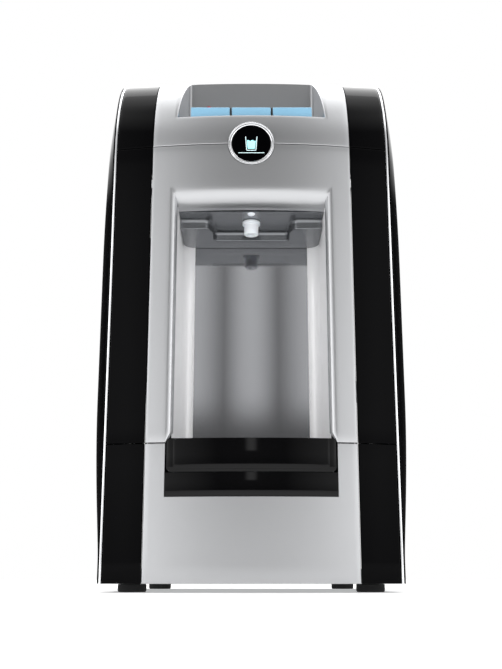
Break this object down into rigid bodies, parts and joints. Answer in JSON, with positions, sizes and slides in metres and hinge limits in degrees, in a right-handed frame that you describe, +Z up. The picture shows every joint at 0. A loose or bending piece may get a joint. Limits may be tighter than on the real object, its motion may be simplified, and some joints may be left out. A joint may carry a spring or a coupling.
{
  "type": "water dispenser",
  "caption": "Countertop water dispenser with silver centre panels, gloss black columns, a deep dispensing niche with a nozzle, a drip tray, and hot, room and cold keys in a top pocket",
  "frame": {"origin": "bottom centre of the bounding box, on the plane the feet rest on", "axes": "+Z up, front face towards -Y, +X to the right seen from the front"},
  "size_m": [0.315, 0.39, 0.574],
  "materials": {
    "silver_satin": "satin",
    "piano_black": "gloss",
    "bright_trim": "polished",
    "dark_moulding": "matte",
    "back_sheet": "satin",
    "zinc_sheet": "galvanised",
    "stainless": "brushed",
    "white_moulding": "gloss",
    "key_blue": "gloss",
    "red_moulding": "gloss",
    "green_moulding": "gloss",
    "foam": "matte",
    "copper_pipe": "satin",
    "board": "matte",
    "rubber": "matte",
    "brass_fitting": "satin"
  },
  "bodies": {
    "housing": {"lower_front_panel": "silver_satin", "mid_front_panel": "silver_satin", "top_cover": "silver_satin", "niche_liner": "silver_satin", "niche_hood": "silver_satin", "lower_column_left": "piano_black", "mid_column_left": "piano_black", "top_column_left": "piano_black", "lower_column_right": "piano_black", "mid_column_right": "piano_black", "top_column_right": "piano_black", "side_panel_left": "piano_black", "side_panel_right": "piano_black", "tray_fascia": "piano_black", "badge_disc": "piano_black", "power_inlet": "piano_black", "edge_trim_left": "bright_trim", "edge_trim_right": "bright_trim", "badge_ring": "bright_trim", "key_deck": "dark_moulding", "switch_housing": "dark_moulding", "hot_solenoid_valve": "dark_moulding", "room_solenoid_valve": "dark_moulding", "cold_solenoid_valve": "dark_moulding", "back_panel": "back_sheet", "compressor": "back_sheet", "condenser": "back_sheet", "base_pan": "zinc_sheet", "tank_frame": "zinc_sheet", "cold_tank": "stainless", "hot_tank": "stainless", "hot_key_spring": "stainless", "room_key_spring": "stainless", "cold_key_spring": "stainless", "nozzle": "white_moulding", "nozzle_collar": "white_moulding", "niche_lamp": "white_moulding", "valve_manifold": "white_moulding", "filter_cartridge": "white_moulding", "cold_water_line": "white_moulding", "hot_water_line": "red_moulding", "cold_tank_jacket": "foam", "evaporator_coil": "copper_pipe", "discharge_line": "copper_pipe", "key_switch_board": "board", "control_board": "board", "foot_front_left": "rubber", "foot_front_right": "rubber", "foot_rear_left": "rubber", "foot_rear_right": "rubber", "water_inlet": "brass_fitting"},
    "hot_button": {"hot_key": "key_blue"},
    "room_button": {"room_key": "key_blue"},
    "cold_button": {"cold_key": "key_blue"},
    "lock": {"hot_lock_slider": "red_moulding"},
    "tray": {"drip_tray": "piano_black"},
    "grille": {"drip_grille": "stainless"},
    "hot_rocker": {"hot_switch": "red_moulding"},
    "cold_rocker": {"cold_switch": "green_moulding"}
  },
  "joints": [
    {"name": "hot_press", "type": "slide", "parent": "housing", "child": "hot_button", "axis": [0, 0, -1], "range_m": [0, 0.003], "stiffness_N_per_m": 300, "springref_m": -0.004, "deforming": ["hot_key_spring"]},
    {"name": "room_press", "type": "slide", "parent": "housing", "child": "room_button", "axis": [0, 0, -1], "range_m": [0, 0.003], "stiffness_N_per_m": 300, "springref_m": -0.004, "deforming": ["room_key_spring"]},
    {"name": "cold_press", "type": "slide", "parent": "housing", "child": "cold_button", "axis": [0, 0, -1], "range_m": [0, 0.003], "stiffness_N_per_m": 300, "springref_m": -0.004, "deforming": ["cold_key_spring"]},
    {"name": "lock_slide", "type": "slide", "parent": "hot_button", "child": "lock", "axis": [1, 0, 0], "range_m": [0, 0.004]},
    {"name": "tray_slide", "type": "slide", "parent": "housing", "child": "tray", "axis": [0, -1, 0], "range_m": [0, 0.1]},
    {"name": "grille_lift", "type": "slide", "parent": "tray", "child": "grille", "axis": [0, 0, 1], "range_m": [0, 0.04]},
    {"name": "hot_rocker_tilt", "type": "hinge", "parent": "housing", "child": "hot_rocker", "pos_m": [-0.0425, 0.1849, 0.062], "axis": [1, 0, 0], "range_deg": [0, 16]},
    {"name": "cold_rocker_tilt", "type": "hinge", "parent": "housing", "child": "cold_rocker", "pos_m": [-0.0255, 0.1849, 0.062], "axis": [1, 0, 0], "range_deg": [0, 16]}
  ]
}
